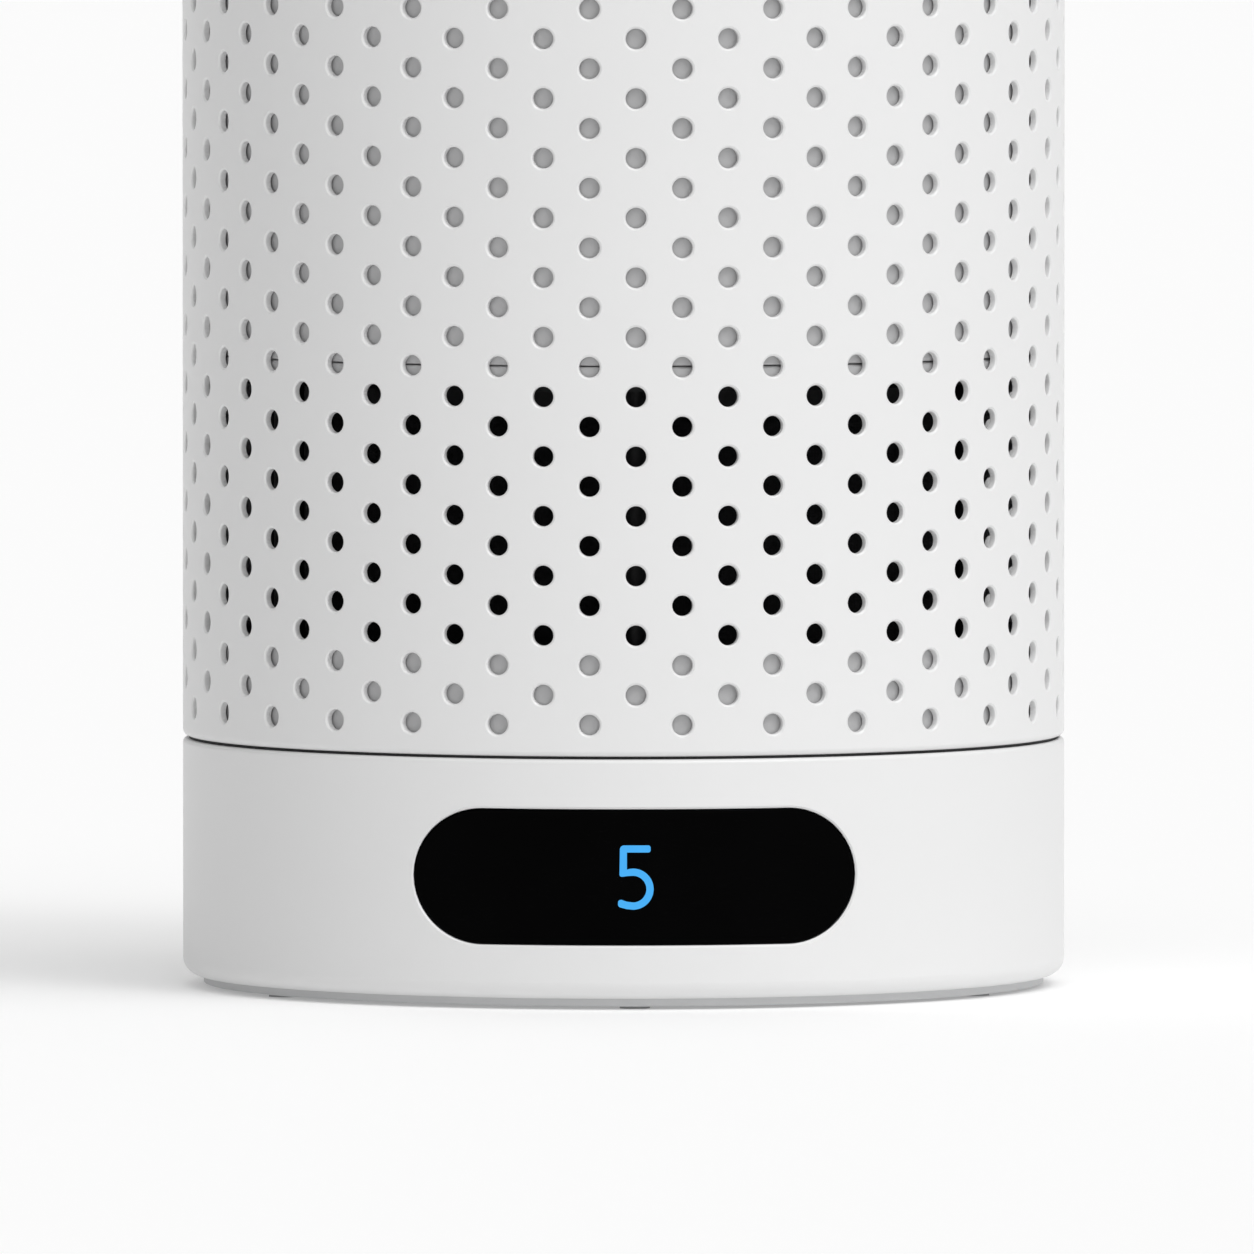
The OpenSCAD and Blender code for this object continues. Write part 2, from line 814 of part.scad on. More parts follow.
// Lead from the control board up past the fan to the motor board
module motor_lead() {
    low = ctrl_z0 + ctrl_h;
    high = mount_z0 + vane_h + 3;
    inner = core_r - 8;
    color([0.15, 0.15, 0.16]) rotate([0, 0, lead_angle]) {
        translate([lead_r, 0, low]) cylinder(r = wire_r, h = high - low, $fn = 32);
        translate([lead_r, 0, high]) sphere(r = wire_r, $fn = 32);
        translate([inner, 0, high]) rotate([0, 90, 0]) cylinder(r = wire_r, h = lead_r - inner, $fn = 32);
        translate([inner, 0, high]) sphere(r = wire_r, $fn = 32);
        translate([inner, 0, motor_board_z + board_t])
            cylinder(r = wire_r, h = high - motor_board_z - board_t, $fn = 32);
    }
}

// ---------- outlet and top ----------

module air_guide() {
    z0 = mount_z0 + vane_h;
    waist = z0 + waist_h;
    color(pale) difference() {
        rotate_extrude() polygon([
            [core_r, z0], [tube_r, waist], [tube_r, guide_top], [0, guide_top],
            [0, guide_top - 2], [tube_r - guide_t, guide_top - 2], [tube_r - guide_t, waist],
            [core_r - guide_t, z0]
        ]);
        translate([button_lead_at, 0, guide_top - 3]) cylinder(r = wire_r + 0.5, h = 3 + eps, $fn = 32);
        rotate([0, 0, lead_angle]) translate([core_r - 6, -wire_r - 0.6, z0 - eps])
            cube([12, 2 * wire_r + 1.2, eps + 5.4]);
    }
}

module upper_seal() {
    color(black) ring(liner_r + snug, shell_in + 0.2, shell_z1, top_z0);
}

module top_screw_places() {
    polar(6) translate([top_screw_at, 0, 0]) children();
}

module top_ring() {
    color(white) difference() {
        union() {
            rotate_extrude() difference() {
                wall_section(rim_in, body_r, top_z0, body_h, rim_edge, edge_round);
                translate([rim_in - eps, top_z0 + floor_t])
                    square([case_in - rim_in + eps, top_h - floor_t - 3.6]);
            }
            top_screw_places() translate([0, 0, top_z0 + floor_t - 0.1])
                cylinder(r = 2.6, h = 7.1, $fn = 32);
        }
        top_screw_places() translate([0, 0, top_z0 - eps])
            cylinder(r = screw_r + pilot_gap, h = pilot_h + eps, $fn = 32);
    }
}

module top_screws() {
    color("silver") top_screw_places() translate([0, 0, top_z0 - flange_lip_t - head_h])
        screw(short_screw_len, head = top_head_r);
}

module outlet_grille() {
    bars = floor((grille_skirt_r - grille_skirt_t - cap_r - 1.6) / grille_pitch);
    z0 = grille_top - grille_h;
    color(white) union() {
        ring(grille_skirt_r - grille_skirt_t, grille_skirt_r, top_z0, grille_top);
        ring(cap_r + snug, cap_r + 1.8, z0, grille_top);
        for (i = [1:bars])
            ring(cap_r + 1.8 + i * grille_pitch - grille_bar, cap_r + 1.8 + i * grille_pitch,
                 grille_top - 5, grille_top);
        polar(12, 15) translate([cap_r + 1, -1, z0])
            cube([grille_skirt_r - grille_skirt_t - cap_r - 0.5, 2, 4]);
    }
}

module control_cap() {
    color(white) difference() {
        union() {
            rotate_extrude() wall_section(0, cap_r, cap_z1 - cap_t, cap_z1, 0.01, 0.8);
            ring(tube_r + snug, cap_r, guide_top - 4, cap_z1 - cap_t + 0.1);
        }
        disc(button_r + slip, cap_z1 - cap_t - eps, cap_z1 + eps);
    }
}

module button_lead() {
    low = motor_board_z + board_t;
    color([0.15, 0.15, 0.16]) translate([button_lead_at, 0, low])
        cylinder(r = wire_r, h = switch_board_z - low, $fn = 32);
}

module button_board() {
    color([0.05, 0.3, 0.16]) union() {
        disc(16, switch_board_z, switch_board_z + board_t);
        polar(3) translate([12, 0, guide_top])
            cylinder(r = 2, h = switch_board_z - guide_top + 0.1, $fn = 32);
    }
}

module tact_switch() {
    color(black) difference() {
        translate([-3.1, -3.1, switch_board_z + board_t]) cube([6.2, 6.2, switch_h]);
        disc(1.7, switch_board_z + board_t + 1, switch_board_z + board_t + switch_h + eps);
    }
}

module switch_plunger() {
    color([0.6, 0.1, 0.1]) disc(1.5, switch_board_z + board_t + 1 + button_travel + 0.3, plunger_top);
}

module power_button() {
    color([0.86, 0.87, 0.88]) union() {
        rotate_extrude() wall_section(0, button_r, cap_z1 - cap_t - 1.5, cap_z1 + 0.2, 0.01, 0.6);
        disc(button_r + 1.6, cap_z1 - cap_t - 1.7, cap_z1 - cap_t - 0.3);
        disc(2.5, plunger_top, cap_z1 - cap_t - 1.6);
    }
}

// ---------- bottom cover and filter ----------

module bottom_cover() {
    plug_r = tunnel_r - 2 * slip;
    rest_r = filter_r + 1.8;
    step_z = base_z0 + floor_t - 0.2;
    dish_z = cover_z0 + dish_depth;
    color(foot_grey) difference() {
        union() {
            disc(cover_flange_r, cover_z0, cover_z0 + cover_flange_t);
            disc(plug_r, cover_z0, step_z);
            ring(rest_r - filter_rest_w, rest_r, step_z - 0.1, filter_z0 - slip);
            disc(dish_r + 2, cover_z0, dish_z + 2);
        }
        difference() {
            disc(dish_r, cover_z0 - eps, dish_z);
            translate([-dish_r - eps, -grip_w / 2, cover_z0])
                cube([2 * dish_r + 2 * eps, grip_w, dish_depth]);
        }
        magnet_places() translate([0, 0, cover_z0 + magnet_skin])
            cylinder(r = magnet_r, h = cover_flange_t, $fn = 32);
    }
}

module cover_magnets() {
    color("silver") magnet_places() translate([0, 0, cover_z0 + magnet_skin])
        cylinder(r = magnet_r, h = cover_flange_t - magnet_skin, $fn = 32);
}

module filter_base_cap() {
    color([0.2, 0.2, 0.21]) difference() {
        ring(bore_r - 2, filter_r + 1, filter_z0, filter_z0 + cap_h);
        translate([filter_r - 7.5, -11, filter_z0 - eps]) cube([1.5, 22, eps + 1.5]);
    }
}

module filter_top_cap() {
    color([0.2, 0.2, 0.21]) ring(bore_r - 2, filter_r + 1, filter_z1 - cap_h, filter_z1);
}

function star(n, r_in, r_out) = [
    for (i = [0:2 * n - 1]) let (a = i * 180 / n, r = i % 2 == 0 ? r_out : r_in) [r * cos(a), r * sin(a)]
];

module hepa_pleats() {
    color("white") translate([0, 0, filter_z0 + cap_h])
        linear_extrude(filter_z1 - filter_z0 - 2 * cap_h) difference() {
            polygon(star(pleats, bore_r + 7, filter_r - 3));
            polygon(star(pleats, bore_r + 5.4, filter_r - 4.6));
        }
}

module carbon_layer() {
    color(black) ring(bore_r, bore_r + 4, filter_z0 + cap_h, filter_z1 - cap_h);
}

module prefilter_mesh() {
    color(black) ring(filter_r - 1, filter_r, filter_z0 + cap_h, filter_z1 - cap_h);
}

module filter_seal() {
    color(black) ring(filter_r - 10, filter_r, filter_z1, filter_z1 + seal_h);
}

module filter_pull_tab() {
    color([0.2, 0.45, 0.8]) translate([filter_r - 7.5, -10, filter_z0 - 3])
        cube([1.5, 20, 4.5]);
}

rubber_feet();
foot_ring();
foot_screws();
base_housing();
display_gasket();
display_lens();
display_digit();
led_module();
display_board();
display_screws();
ribbon_cable();
control_board();
board_parts();
dc_inlet();
dc_pin();
dust_sensor();
keeper_plates();
inner_collar();
lower_seal();
intake_frame();
frame_screws();
perforated_shell();
fan_deck();
deck_screws();
upper_liner();
motor_lead();
motor_mount();
mount_screws();
stator_core();
stator_coils();
motor_bearings();
motor_board();
rotor_cup();
rotor_magnets();
motor_shaft();
impeller();
impeller_nut();
air_guide();
upper_seal();
top_ring();
top_screws();
outlet_grille();
control_cap();
button_lead();
button_board();
tact_switch();
switch_plunger();
power_button();
bottom_cover();
cover_magnets();
filter_base_cap();
filter_top_cap();
hepa_pleats();
carbon_layer();
prefilter_mesh();
filter_seal();
filter_pull_tab();
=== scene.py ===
"""Cylindrical air purifier with a perforated shell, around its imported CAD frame.

Metres, +Z up, the front (display side) faces -Y. Angles run anticlockwise seen from above,
from 0 at the right, so 270 is the front. The shell, base, window, digit, foot, top ring and
grille are built here as smooth meshes with their own normals. Every other CAD node keeps its
shape and takes a material.
"""
import json
import math

import bpy
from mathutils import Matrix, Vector


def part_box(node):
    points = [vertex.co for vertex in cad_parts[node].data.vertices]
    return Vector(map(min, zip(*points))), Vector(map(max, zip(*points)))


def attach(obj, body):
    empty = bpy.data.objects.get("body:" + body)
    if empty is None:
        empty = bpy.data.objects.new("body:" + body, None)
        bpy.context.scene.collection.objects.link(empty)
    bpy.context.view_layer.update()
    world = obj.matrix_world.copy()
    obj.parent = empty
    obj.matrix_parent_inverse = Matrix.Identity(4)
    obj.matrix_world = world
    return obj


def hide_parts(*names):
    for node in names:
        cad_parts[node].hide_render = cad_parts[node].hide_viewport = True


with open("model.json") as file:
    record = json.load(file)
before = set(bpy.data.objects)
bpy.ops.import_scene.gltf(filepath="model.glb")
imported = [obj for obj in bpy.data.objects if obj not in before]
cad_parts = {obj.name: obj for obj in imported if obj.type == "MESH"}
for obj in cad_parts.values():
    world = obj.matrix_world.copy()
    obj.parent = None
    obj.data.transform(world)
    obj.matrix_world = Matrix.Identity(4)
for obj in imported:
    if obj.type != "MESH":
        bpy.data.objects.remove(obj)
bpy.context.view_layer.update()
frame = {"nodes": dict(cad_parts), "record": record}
MM = 0.001
MAIN = "main_unit"


# ---------- sizes that the frame gives ----------

def radius_of(node):
    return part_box(node)[1][0]


BODY_R = radius_of("base_housing")
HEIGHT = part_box("top_ring")[1][2]
BASE_Z0, BASE_Z1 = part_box("base_housing")[0][2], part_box("base_housing")[1][2]
SHELL_Z0, SHELL_Z1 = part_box("perforated_shell")[0][2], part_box("perforated_shell")[1][2]
TOP_Z0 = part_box("top_ring")[0][2]
FOOT_R = radius_of("foot_ring")
FOOT_Z0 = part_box("foot_ring")[0][2]
DIGIT_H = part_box("display_digit")[1][2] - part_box("display_digit")[0][2]
DISPLAY_Z = (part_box("display_digit")[1][2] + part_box("display_digit")[0][2]) / 2
GRILLE_R = radius_of("outlet_grille")
GRILLE_Z1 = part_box("outlet_grille")[1][2]
CAP_R = radius_of("control_cap")
INLET_Z = (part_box("dc_inlet")[0][2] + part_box("dc_inlet")[1][2]) / 2

# ---------- sizes that the frame doesn't give ----------

CASE_WALL = 2.8 * MM
SHELL_WALL = 1.6 * MM
FLOOR_T = 2.4 * MM               # floor of the base, and ledge of the top ring
EDGE = 4 * MM                    # fillet at the bottom of the base and the top of the top ring
SEAM_EDGE = 1.0 * MM             # fillet beside the two seams
SHELL_EDGE = 1.4 * MM
BASE_BORE_R = 80.5 * MM
BORE_EDGE = 0.3 * MM
FOOT_BORE_R = 86 * MM
FOOT_EDGE_IN, FOOT_EDGE_OUT = 0.2 * MM, 0.3 * MM
TOP_STEP = 3.6 * MM              # depth of the top ring's inner lip
TOP_LIP_EDGE = 0.6 * MM
TOP_GAP = 0.2 * MM               # between the top ring and the grille

HOLE_R = 2.3 * MM
HOLE_RIM = 0.5 * MM
HOLE_COUNT = 30
ROW_PITCH = 6.67 * MM
ROW_MARGIN = 7.1 * MM
ROW_SLACK = 0.05                 # share of a row that rounding may take

DISPLAY_W, DISPLAY_H = 98.9 * MM, 30.5 * MM
DISPLAY_HALF_DEG = 36            # half the stretch of wall that is meshed round the display
PILL_RIM = 0.55 * MM
LENS_GAP = 0.22 * MM
LENS_R = BODY_R - 0.4 * MM
LENS_EDGE, LENS_T = 0.3 * MM, 2.6 * MM
DIGIT_PROUD = 0.03 * MM

INLET_R = 7.2 * MM
INLET_HALF_DEG = 6
VENT_ANGLE, VENT_STEP, VENTS = 45, 3, 5
VENT_RUN, VENT_R = 6.2 * MM, 0.8 * MM
VENT_RIM = 0.25 * MM

GRILLE_PITCH, GRILLE_BAR = 5.4 * MM, 1.8 * MM
GRILLE_SKIRT = 1.8 * MM
GRILLE_HUB_GAP, GRILLE_HUB = 0.1 * MM, 1.7 * MM
GRILLE_DEEP, GRILLE_BAR_H = 8 * MM, 5 * MM
GRILLE_EDGE, BAR_EDGE = 0.5 * MM, 0.6 * MM
SPOKES = 12
SPOKE_HALF, SPOKE_EDGE = 1 * MM, 0.4 * MM
SPOKE_DROP = 4 * MM              # from the grille's top to the spokes' top
SPOKE_IN, SPOKE_OUT = 1 * MM, 0.5 * MM   # past the cap, and into the skirt
FIRST_RING, RING_ROOM = 1.8 * MM, 1.6 * MM

STEPS = 720                      # divisions round the body, half a degree each
GRILLE_STEPS = 360
FRONT_DEG, REAR_DEG = 270, 90
FILLET_STEP = 0.25 * MM
FILLET_STEPS = (3, 12)           # fewest and most facets in a fillet
TINY = 1e-9                      # shorter than this is no length
SLACK = 1e-7                     # allowed when heights are compared


# ---------- mesh building ----------

class Skin:
    """Vertices, faces and one normal per face corner, gathered for one mesh."""

    def __init__(self):
        self.verts, self.faces, self.normals = [], [], []

    def vert(self, x, y, z):
        self.verts.append((x, y, z))
        return len(self.verts) - 1

    def face(self, corners, normals):
        self.faces.append(corners)
        self.normals.extend(normals)

    def build(self, name, material, body=MAIN):
        mesh = bpy.data.meshes.new(name)
        mesh.from_pydata(self.verts, [], self.faces)
        mesh.polygons.foreach_set("use_smooth", [True] * len(mesh.polygons))
        mesh.normals_split_custom_set(self.normals)
        mesh.materials.append(material)
        obj = bpy.data.objects.new(name, mesh)
        bpy.context.scene.collection.objects.link(obj)
        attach(obj, body)
        return obj


def unit(x, y):
    size = math.hypot(x, y)
    return x / size, y / size


def rounded_profile(corners, splits=()):
    """Strips of a closed (radius, height) outline, anticlockwise. corners are (r, z, fillet).
    Each strip is (start, start normal, end, end normal). Upright runs are cut at splits."""
    count = len(corners)
    runs = []
    for i, (r, z, fillet) in enumerate(corners):
        pr, pz, _ = corners[i - 1]
        nr, nz, _ = corners[(i + 1) % count]
        ax, ay = unit(pr - r, pz - z)
        bx, by = unit(nr - r, nz - z)
        if fillet <= 0:
            runs.append([((r, z), None)])
            continue
        half = math.acos(max(-1, min(1, ax * bx + ay * by))) / 2
        reach = fillet / math.tan(half)
        mx, my = unit(ax + bx, ay + by)
        cx, cy = r + mx * fillet / math.sin(half), z + my * fillet / math.sin(half)
        start = (r + ax * reach, z + ay * reach)
        end = (r + bx * reach, z + by * reach)
        steps = min(max(FILLET_STEPS[0], int(fillet / FILLET_STEP)), FILLET_STEPS[1])
        a0 = math.atan2(start[1] - cy, start[0] - cx)
        turn = math.atan2(end[1] - cy, end[0] - cx) - a0
        turn = (turn + math.pi) % (2 * math.pi) - math.pi
        side = 1 if turn > 0 else -1
        arc = []
        for k in range(steps + 1):
            a = a0 + turn * k / steps
            arc.append(((cx + fillet * math.cos(a), cy + fillet * math.sin(a)),
                        (side * math.cos(a), side * math.sin(a))))
        runs.append(arc)
    strips = []
    for i, run in enumerate(runs):
        for (p, n), (q, m) in zip(run, run[1:]):
            strips.append((p, n, q, m))
        p, q = run[-1][0], runs[(i + 1) % count][0][0]
        if math.dist(p, q) < TINY:
            continue
        dx, dy = unit(q[0] - p[0], q[1] - p[1])
        normal = (dy, -dx)
        stops = [p]
        if abs(q[0] - p[0]) < TINY:
            low, high = sorted((p[1], q[1]))
            inside = [(p[0], s) for s in splits if low + SLACK < s < high - SLACK]
            stops += inside if q[1] > p[1] else inside[::-1]
        stops.append(q)
        strips += [(a, normal, b, normal) for a, b in zip(stops, stops[1:])]
    return strips


def at(angle, r, z):
    return r * math.cos(angle), r * math.sin(angle), z


def lathe(skin, strips, steps=STEPS, openings=()):
    """Revolves strips, and leaves out the upright cells inside each of the openings.
    Gives back the function that looks up the ring of vertices at a (radius, height) point."""
    rows = {}

    def row(point):
        key = (round(point[0], 8), round(point[1], 8))
        if key not in rows:
            rows[key] = [skin.vert(*at(2 * math.pi * k / steps, *point)) for k in range(steps)]
        return rows[key]

    skipped = {}
    for o in openings:
        for side in ("out", "in"):
            for k in range(o["first"], o["last"]):
                skipped.setdefault((side, k % steps), []).append((o["z0"], o["z1"]))
    for (p, n, q, m) in strips:
        low, high = row(p), row(q)
        upright = abs(p[0] - q[0]) < TINY
        side = "out" if n[0] > 0 else "in"
        z0, z1 = sorted((p[1], q[1]))
        for k in range(steps):
            if upright and openings and any(
                    a - SLACK < z0 and z1 < b + SLACK for a, b in skipped.get((side, k), ())):
                continue
            j = (k + 1) % steps
            a0, a1 = 2 * math.pi * k / steps, 2 * math.pi * (k + 1) / steps
            corners, normals = [], []
            for index, angle, (nr, nz) in ((low[k], a0, n), (low[j], a1, n),
                                           (high[j], a1, m), (high[k], a0, m)):
                if index not in corners:
                    corners.append(index)
                    normals.append((nr * math.cos(angle), nr * math.sin(angle), nz))
            skin.face(corners, normals)
    return row


# A rim's middle loop, as shares of the rim, and how its bands lean between face and wall
MID_OUT, MID_DEEP = 0.2, 0.5
MID_FACE, LEAN_WALL = 0.45, 0.75


def pierce(skin, row, hole, z_lines, r_out, r_in, rim, steps=STEPS):
    """Fills the cells that lathe left out round a hole: face, soft rim, wall and back."""
    centre = hole["centre"]
    first, last = hole["first"], hole["last"]
    heights = [z for z in z_lines if hole["z0"] - SLACK < z < hole["z1"] + SLACK]
    path = [(k, heights[0]) for k in range(first, last)]
    path += [(last, z) for z in heights[:-1]]
    path += [(k, heights[-1]) for k in range(last, first, -1)]
    path += [(first, z) for z in heights[:0:-1]]
    er = Vector((math.cos(centre), math.sin(centre), 0))
    et = Vector((-math.sin(centre), math.cos(centre), 0))
    ez = Vector((0, 0, 1))
    count = len(path)

    def place(s, z, r, depth=0.0):
        p = er * (math.sqrt(r * r - s * s) - depth) + et * s + ez * z
        return skin.vert(*p)

    def radial(s, r, sign=1):
        return (er * math.sqrt(1 - (s / r) ** 2) + et * (s / r)) * sign

    loops = {name: [] for name in ("grid", "lip", "mid", "edge", "back", "rear")}
    tilt, spots = [], []
    for i, (k, z) in enumerate(path):
        s = r_out * math.sin(2 * math.pi * k / steps - centre)
        x, y, nx, ny = hole["outline"](s, z - hole["zc"], i, count)
        y += hole["zc"]
        spots.append((s, x))
        tilt.append(-(et * nx + ez * ny))
        loops["grid"].append(row((r_out, z))[k % steps])
        loops["lip"].append(place(x + nx * rim, y + ny * rim, r_out))
        loops["mid"].append(place(x + nx * rim * MID_OUT, y + ny * rim * MID_OUT,
                                  r_out, rim * MID_DEEP))
        loops["edge"].append(place(x, y, r_out, rim))
        loops["back"].append(place(x, y, r_in))
        loops["rear"].append(row((r_in, z))[k % steps])
    out_grid = [radial(s, r_out) for s, _ in spots]
    out_lip = [radial(x, r_out) for _, x in spots]
    mid = [(out_lip[i] * MID_FACE + tilt[i]).normalized() for i in range(count)]
    lean = [(out_lip[i] + tilt[i] * LEAN_WALL).normalized() for i in range(count)]
    into = [radial(x, r_in, -1) for _, x in spots]
    bands = (("grid", out_grid, "lip", out_lip), ("lip", lean, "mid", lean),
             ("mid", mid, "edge", tilt), ("edge", tilt, "back", tilt), ("back", into, "rear", into))
    for a, na, b, nb in bands:
        for i in range(count):
            j = (i + 1) % count
            skin.face([loops[a][i], loops[a][j], loops[b][j], loops[b][i]],
                      [tuple(na[i]), tuple(na[j]), tuple(nb[j]), tuple(nb[i])])


def round_hole(radius, right):
    """Circle set out by order along the border, so that its points stay evenly spread.
    right is the place in that order of the point on the hole's right."""
    def outline(s, z, i, count):
        angle = 2 * math.pi * (i - right) / count
        return radius * math.cos(angle), radius * math.sin(angle), math.cos(angle), math.sin(angle)
    return outline


def stadium(half_run, radius, upright=False):
    """Pill outline, its straight run level unless upright. half_run 0 makes a circle."""
    def outline(s, z, i, count):
        a, b = (z, s) if upright else (s, z)
        if abs(a) <= half_run:
            side = 1 if b > 0 else -1
            result = (a, side * radius, 0, side)
        else:
            end = half_run if a > 0 else -half_run
            nx, ny = unit(a - end, b)
            result = (end + nx * radius, ny * radius, nx, ny)
        x, y, nx, ny = result
        return (y, x, ny, nx) if upright else result
    return outline


def opening(centre_deg, half_deg, z0, z1, zc, outline, steps=STEPS):
    """A hole: the stretch of wall it takes up, its centre height and its outline."""
    per_degree = steps / 360
    return {"centre": math.radians(centre_deg),
            "first": round((centre_deg - half_deg) * per_degree),
            "last": round((centre_deg + half_deg) * per_degree),
            "z0": z0, "z1": z1, "zc": zc, "outline": outline}


# ---------- materials ----------

def new_material(name):
    mat = bpy.data.materials.new(name)
    mat.use_nodes = True
    tree = mat.node_tree
    return mat, tree, tree.nodes["Principled BSDF"]


def noise(tree, vector, scale, detail):
    tex = tree.nodes.new("ShaderNodeTexNoise")
    tex.inputs["Scale"].default_value = scale
    tex.inputs["Detail"].default_value = detail
    tree.links.new(vector, tex.inputs["Vector"])
    return tex.outputs["Fac"]


def vary_value(tree, factor, low, high, target):
    """Runs target from low to high as factor goes from 0 to 1."""
    span = tree.nodes.new("ShaderNodeMapRange")
    span.inputs["To Min"].default_value = low
    span.inputs["To Max"].default_value = high
    tree.links.new(factor, span.inputs["Value"])
    tree.links.new(span.outputs["Result"], target)


def vary_colour(tree, factor, low, high, target):
    tint = tree.nodes.new("ShaderNodeMix")
    tint.data_type = "RGBA"
    tint.inputs["A"].default_value = (*low, 1)
    tint.inputs["B"].default_value = (*high, 1)
    tree.links.new(factor, tint.inputs["Factor"])
    tree.links.new(tint.outputs["Result"], target)


def add_relief(tree, height, strength, distance, bsdf):
    relief = tree.nodes.new("ShaderNodeBump")
    relief.inputs["Strength"].default_value = strength
    relief.inputs["Distance"].default_value = distance
    tree.links.new(height, relief.inputs["Height"])
    tree.links.new(relief.outputs["Normal"], bsdf.inputs["Normal"])


GLOSS_SCALE = 26                 # slow change of gloss over moulded plastic
GRAIN_DEPTH = 0.1 * MM
WEAVE_DEPTH, WEAVE_BUMP = 0.3 * MM, 0.5
WEAVE_HOLLOW_SHADE = 0.6                 # painted shade: colour of a weave's hollows against its threads
COAT_ROUGHNESS = 0.2
BRUSH_SCALE, BRUSH_SPREAD = 900, 0.08
SMEAR_SCALE, DOT_SCALE = 60, 420
DISPLAY_SPECULAR = 0.015         # low, so that the window stays black under the studio light


def plastic(name, colour, roughness, grain=0.00022, bump=0.05, spread=0.05, wash=0.02, coat=0.0):
    """Moulded plastic: fine spark-eroded grain, a slow change of gloss, faint colour drift."""
    mat, tree, bsdf = new_material(name)
    vector = tree.nodes.new("ShaderNodeTexCoord").outputs["Object"]
    fine = noise(tree, vector, 1 / grain, 2)
    slow = noise(tree, vector, GLOSS_SCALE, 4)
    vary_value(tree, slow, roughness - spread, roughness + spread, bsdf.inputs["Roughness"])
    vary_colour(tree, slow, [c * (1 - wash) for c in colour],
                [min(1, c * (1 + wash)) for c in colour], bsdf.inputs["Base Color"])
    add_relief(tree, fine, bump, GRAIN_DEPTH, bsdf)
    bsdf.inputs["Coat Weight"].default_value = coat
    bsdf.inputs["Coat Roughness"].default_value = COAT_ROUGHNESS
    return mat


def metal(name, colour, roughness, stretch=(1, 1, 12)):
    """Metal with fine drawn lines in its gloss. stretch squeezes the lines along an axis."""
    mat, tree, bsdf = new_material(name)
    place = tree.nodes.new("ShaderNodeMapping")
    place.inputs["Scale"].default_value = stretch
    coords = tree.nodes.new("ShaderNodeTexCoord")
    tree.links.new(coords.outputs["Object"], place.inputs["Vector"])
    lines = noise(tree, place.outputs["Vector"], BRUSH_SCALE, 3)
    vary_value(tree, lines, roughness - BRUSH_SPREAD, roughness + BRUSH_SPREAD,
               bsdf.inputs["Roughness"])
    bsdf.inputs["Base Color"].default_value = (*colour, 1)
    bsdf.inputs["Metallic"].default_value = 1
    return mat


def window_black():
    """Polished black window; faint smears vary its gloss and its tone."""
    mat, tree, bsdf = new_material("display_window")
    vector = tree.nodes.new("ShaderNodeTexCoord").outputs["Object"]
    smear = noise(tree, vector, SMEAR_SCALE, 5)
    vary_value(tree, smear, 0.035, 0.085, bsdf.inputs["Roughness"])
    vary_colour(tree, smear, (0.0003, 0.0003, 0.0003), (0.0012, 0.0012, 0.0013),
                bsdf.inputs["Base Color"])
    bsdf.inputs["Specular IOR Level"].default_value = DISPLAY_SPECULAR
    return mat


def lit_blue():
    """The lit digit: even blue light with a very faint mottle."""
    mat, tree, bsdf = new_material("lit_digit")
    vector = tree.nodes.new("ShaderNodeTexCoord").outputs["Object"]
    vary_colour(tree, noise(tree, vector, DOT_SCALE, 2), (0.062, 0.41, 0.9), (0.075, 0.45, 0.93),
                bsdf.inputs["Emission Color"])
    bsdf.inputs["Emission Strength"].default_value = 1.0
    bsdf.inputs["Base Color"].default_value = (0.004, 0.01, 0.02, 1)
    bsdf.inputs["Specular IOR Level"].default_value = DISPLAY_SPECULAR
    bsdf.inputs["Roughness"].default_value = 0.08
    return mat


def woven(name, colour, pitch, roughness=0.9):
    """Fine weave: two crossed sets of waves as bump and colour; the colour is darker in the
    hollows, a painted shade.
    """
    mat, tree, bsdf = new_material(name)
    coords = tree.nodes.new("ShaderNodeTexCoord")
    crossed = tree.nodes.new("ShaderNodeMath")
    crossed.operation = "MULTIPLY"
    for index, axis in enumerate(("X", "Z")):
        wave = tree.nodes.new("ShaderNodeTexWave")
        wave.bands_direction = axis
        wave.inputs["Scale"].default_value = 1 / pitch
        tree.links.new(coords.outputs["Object"], wave.inputs["Vector"])
        tree.links.new(wave.outputs["Fac"], crossed.inputs[index])
    height = crossed.outputs["Value"]
    # painted shade: the colour darkens where the weave's height is low
    vary_colour(tree, height, [c * WEAVE_HOLLOW_SHADE for c in colour], colour, bsdf.inputs["Base Color"])
    add_relief(tree, height, WEAVE_BUMP, WEAVE_DEPTH, bsdf)
    bsdf.inputs["Roughness"].default_value = roughness
    return mat


